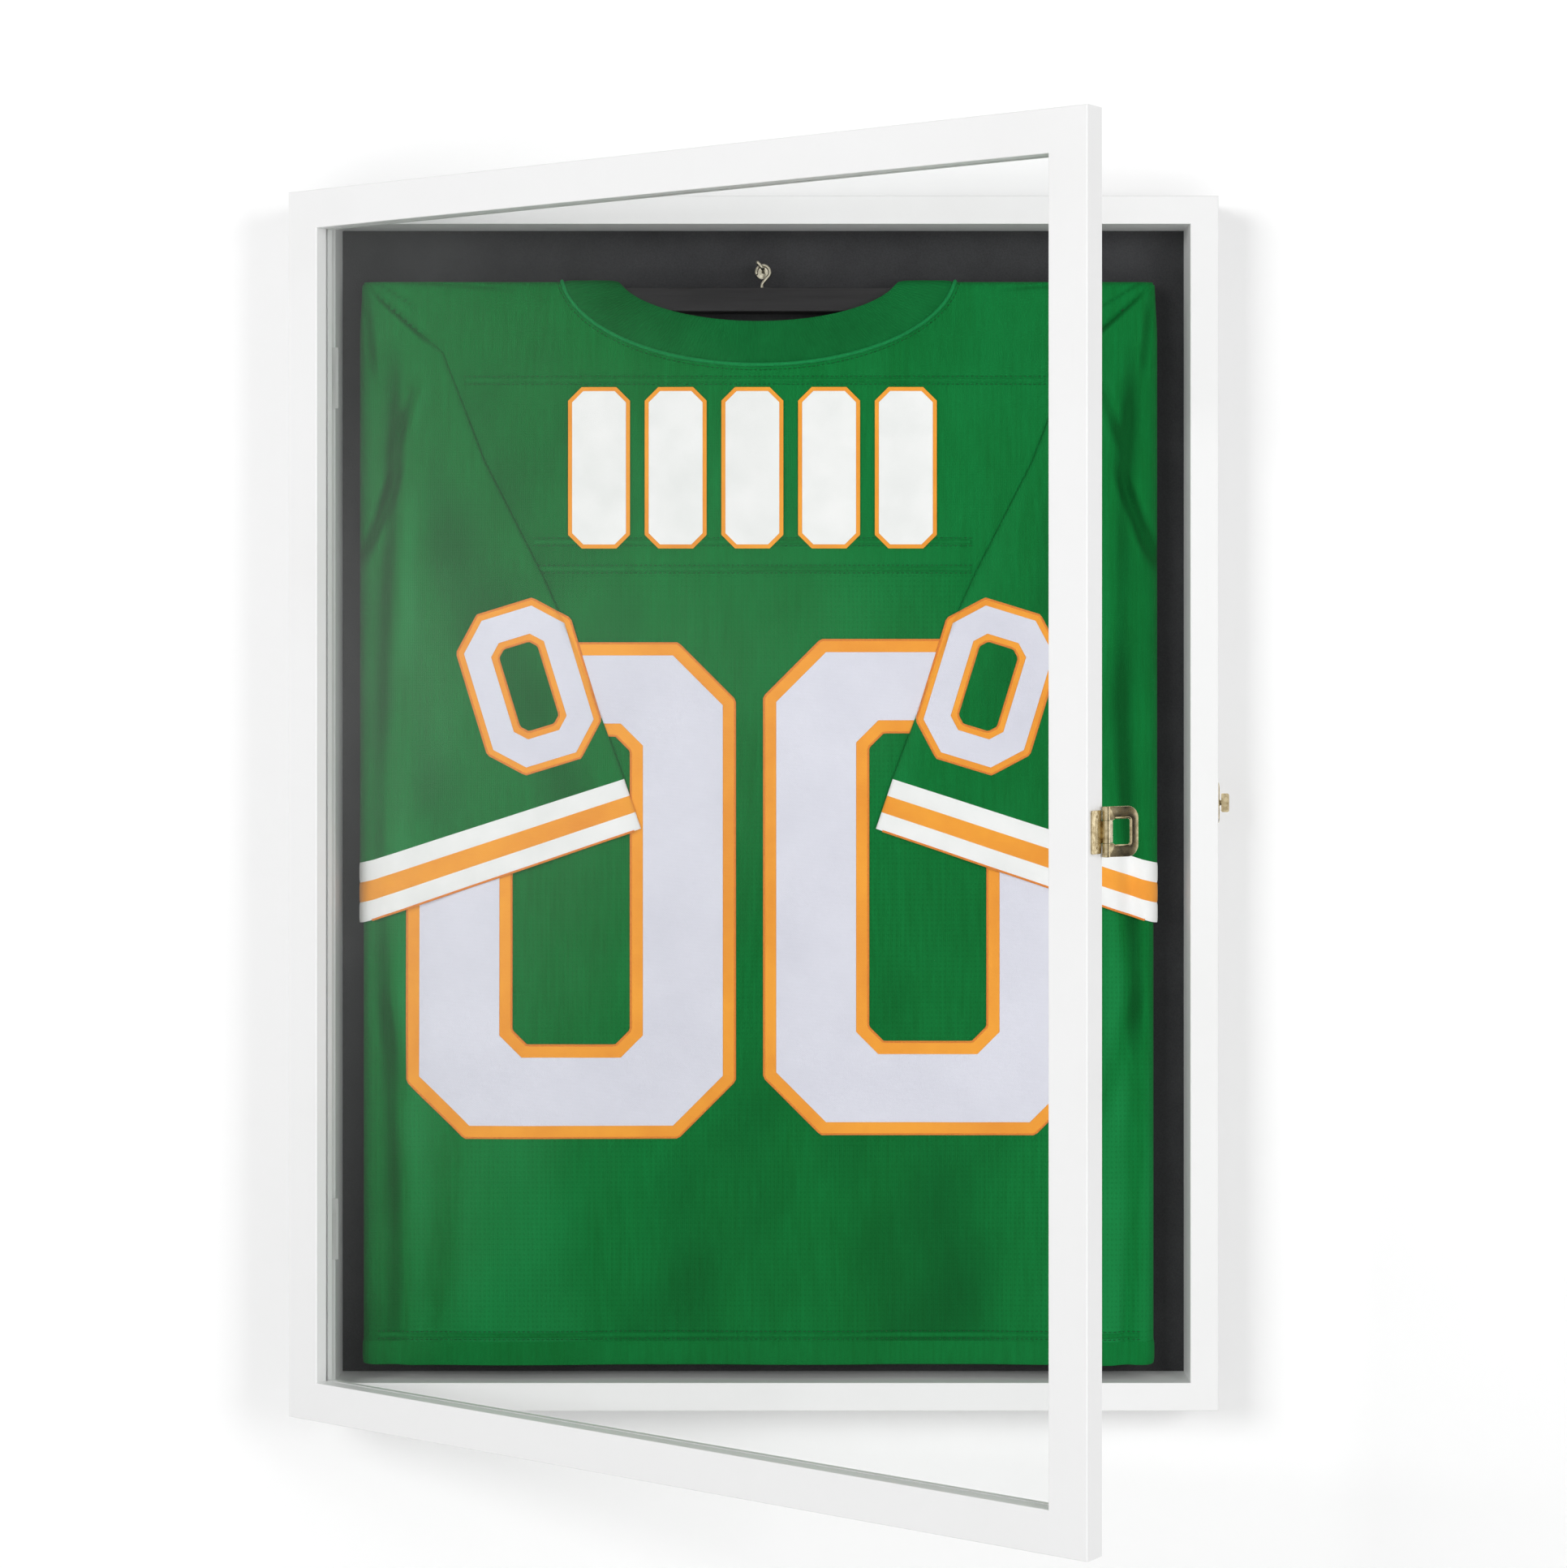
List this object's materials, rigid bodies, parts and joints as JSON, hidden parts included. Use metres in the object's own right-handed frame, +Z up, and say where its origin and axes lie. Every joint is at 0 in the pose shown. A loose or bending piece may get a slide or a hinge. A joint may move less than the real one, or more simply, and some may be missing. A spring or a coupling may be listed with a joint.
{
  "type": "jersey display frame",
  "caption": "Wall-hung jersey display case with a hinged clear door, brass turn catch, felt backing and a hanging rod that carries a folded jersey.",
  "frame": {"origin": "middle of the line between the two keyhole entry holes, on the wall plane", "axes": "+X to the right seen from the front, +Y into the wall, +Z up"},
  "size_m": [0.6179, 0.4051, 0.8],
  "materials": {
    "white_lacquer": "white satin lacquer on wood",
    "backing_board": "bare brown hardboard",
    "charcoal_felt": "short pressed felt",
    "clear_acrylic": "clear polished sheet with a faint haze",
    "white_painted_hinge": "satin white paint over steel",
    "polished_brass": "polished pale brass plate",
    "nickel_wire": "bright wire with a warm tint",
    "zinc_steel": "zinc-plated steel",
    "black_bar": "flat black paint on wood",
    "jersey_knit": "soft polyester mesh knit",
    "jersey_rib": "ribbed knit neckband"
  },
  "bodies": {
    "case": {"backing_board": "backing_board", "backing_felt": "charcoal_felt", "backing_points": "zinc_steel", "case_bottom_rail": "white_lacquer", "case_corner_nails": "zinc_steel", "case_hook": "nickel_wire", "case_hook_nut": "nickel_wire", "case_left_stile": "white_lacquer", "case_right_stile": "white_lacquer", "case_top_rail": "white_lacquer", "catch_plate": "polished_brass", "catch_screws": "polished_brass", "hinge_case_screws": "white_painted_hinge", "hinge_lower_case_leaf": "white_painted_hinge", "hinge_lower_pin": "white_painted_hinge", "hinge_upper_case_leaf": "white_painted_hinge", "hinge_upper_pin": "white_painted_hinge", "keyhole_screws": "zinc_steel", "wall_keyhole_left": "zinc_steel", "wall_keyhole_right": "zinc_steel"},
    "door": {"door_bottom_rail": "white_lacquer", "door_corner_nails": "zinc_steel", "door_left_stile": "white_lacquer", "door_pane": "clear_acrylic", "door_right_stile": "white_lacquer", "door_top_rail": "white_lacquer", "hasp_base": "polished_brass", "hasp_pin": "polished_brass", "hasp_screws": "polished_brass", "hinge_door_screws": "white_painted_hinge", "hinge_lower_door_leaf": "white_painted_hinge", "hinge_upper_door_leaf": "white_painted_hinge", "pane_bead_bottom": "white_lacquer", "pane_bead_left": "white_lacquer", "pane_bead_right": "white_lacquer", "pane_bead_top": "white_lacquer"},
    "hasp": {"hasp_loop": "polished_brass"},
    "knob": {"catch_knob": "polished_brass"},
    "hanger": {"hanger_bar": "black_bar", "hanger_hook": "nickel_wire", "jersey_collar": "jersey_rib", "jersey_front_panel": "jersey_knit", "jersey_rear_panel": "jersey_knit", "jersey_shoulders": "jersey_knit", "jersey_side_folds": "jersey_knit", "jersey_sleeve_left": "jersey_knit", "jersey_sleeve_right": "jersey_knit"}
  },
  "joints": [
    {"name": "door_swing", "type": "hinge", "parent": "case", "child": "door", "pos_m": [-0.3028, -0.0445, -0.325], "axis": [0, 0, -1], "range_deg": [-35.2, 144.8]},
    {"name": "hasp_swing", "type": "hinge", "parent": "door", "child": "hasp", "pos_m": [0.19161, -0.39388, -0.325], "axis": [0, 0, -1], "range_deg": [-24, 150]},
    {"name": "knob_turn", "type": "hinge", "parent": "case", "child": "knob", "pos_m": [0.3, -0.0326, -0.325], "axis": [1, 0, 0], "range_deg": [0, 90]},
    {"name": "hanger_lift", "type": "slide", "parent": "case", "child": "hanger", "axis": [0, 0, 1], "range_m": [0, 0.0044]}
  ]
}
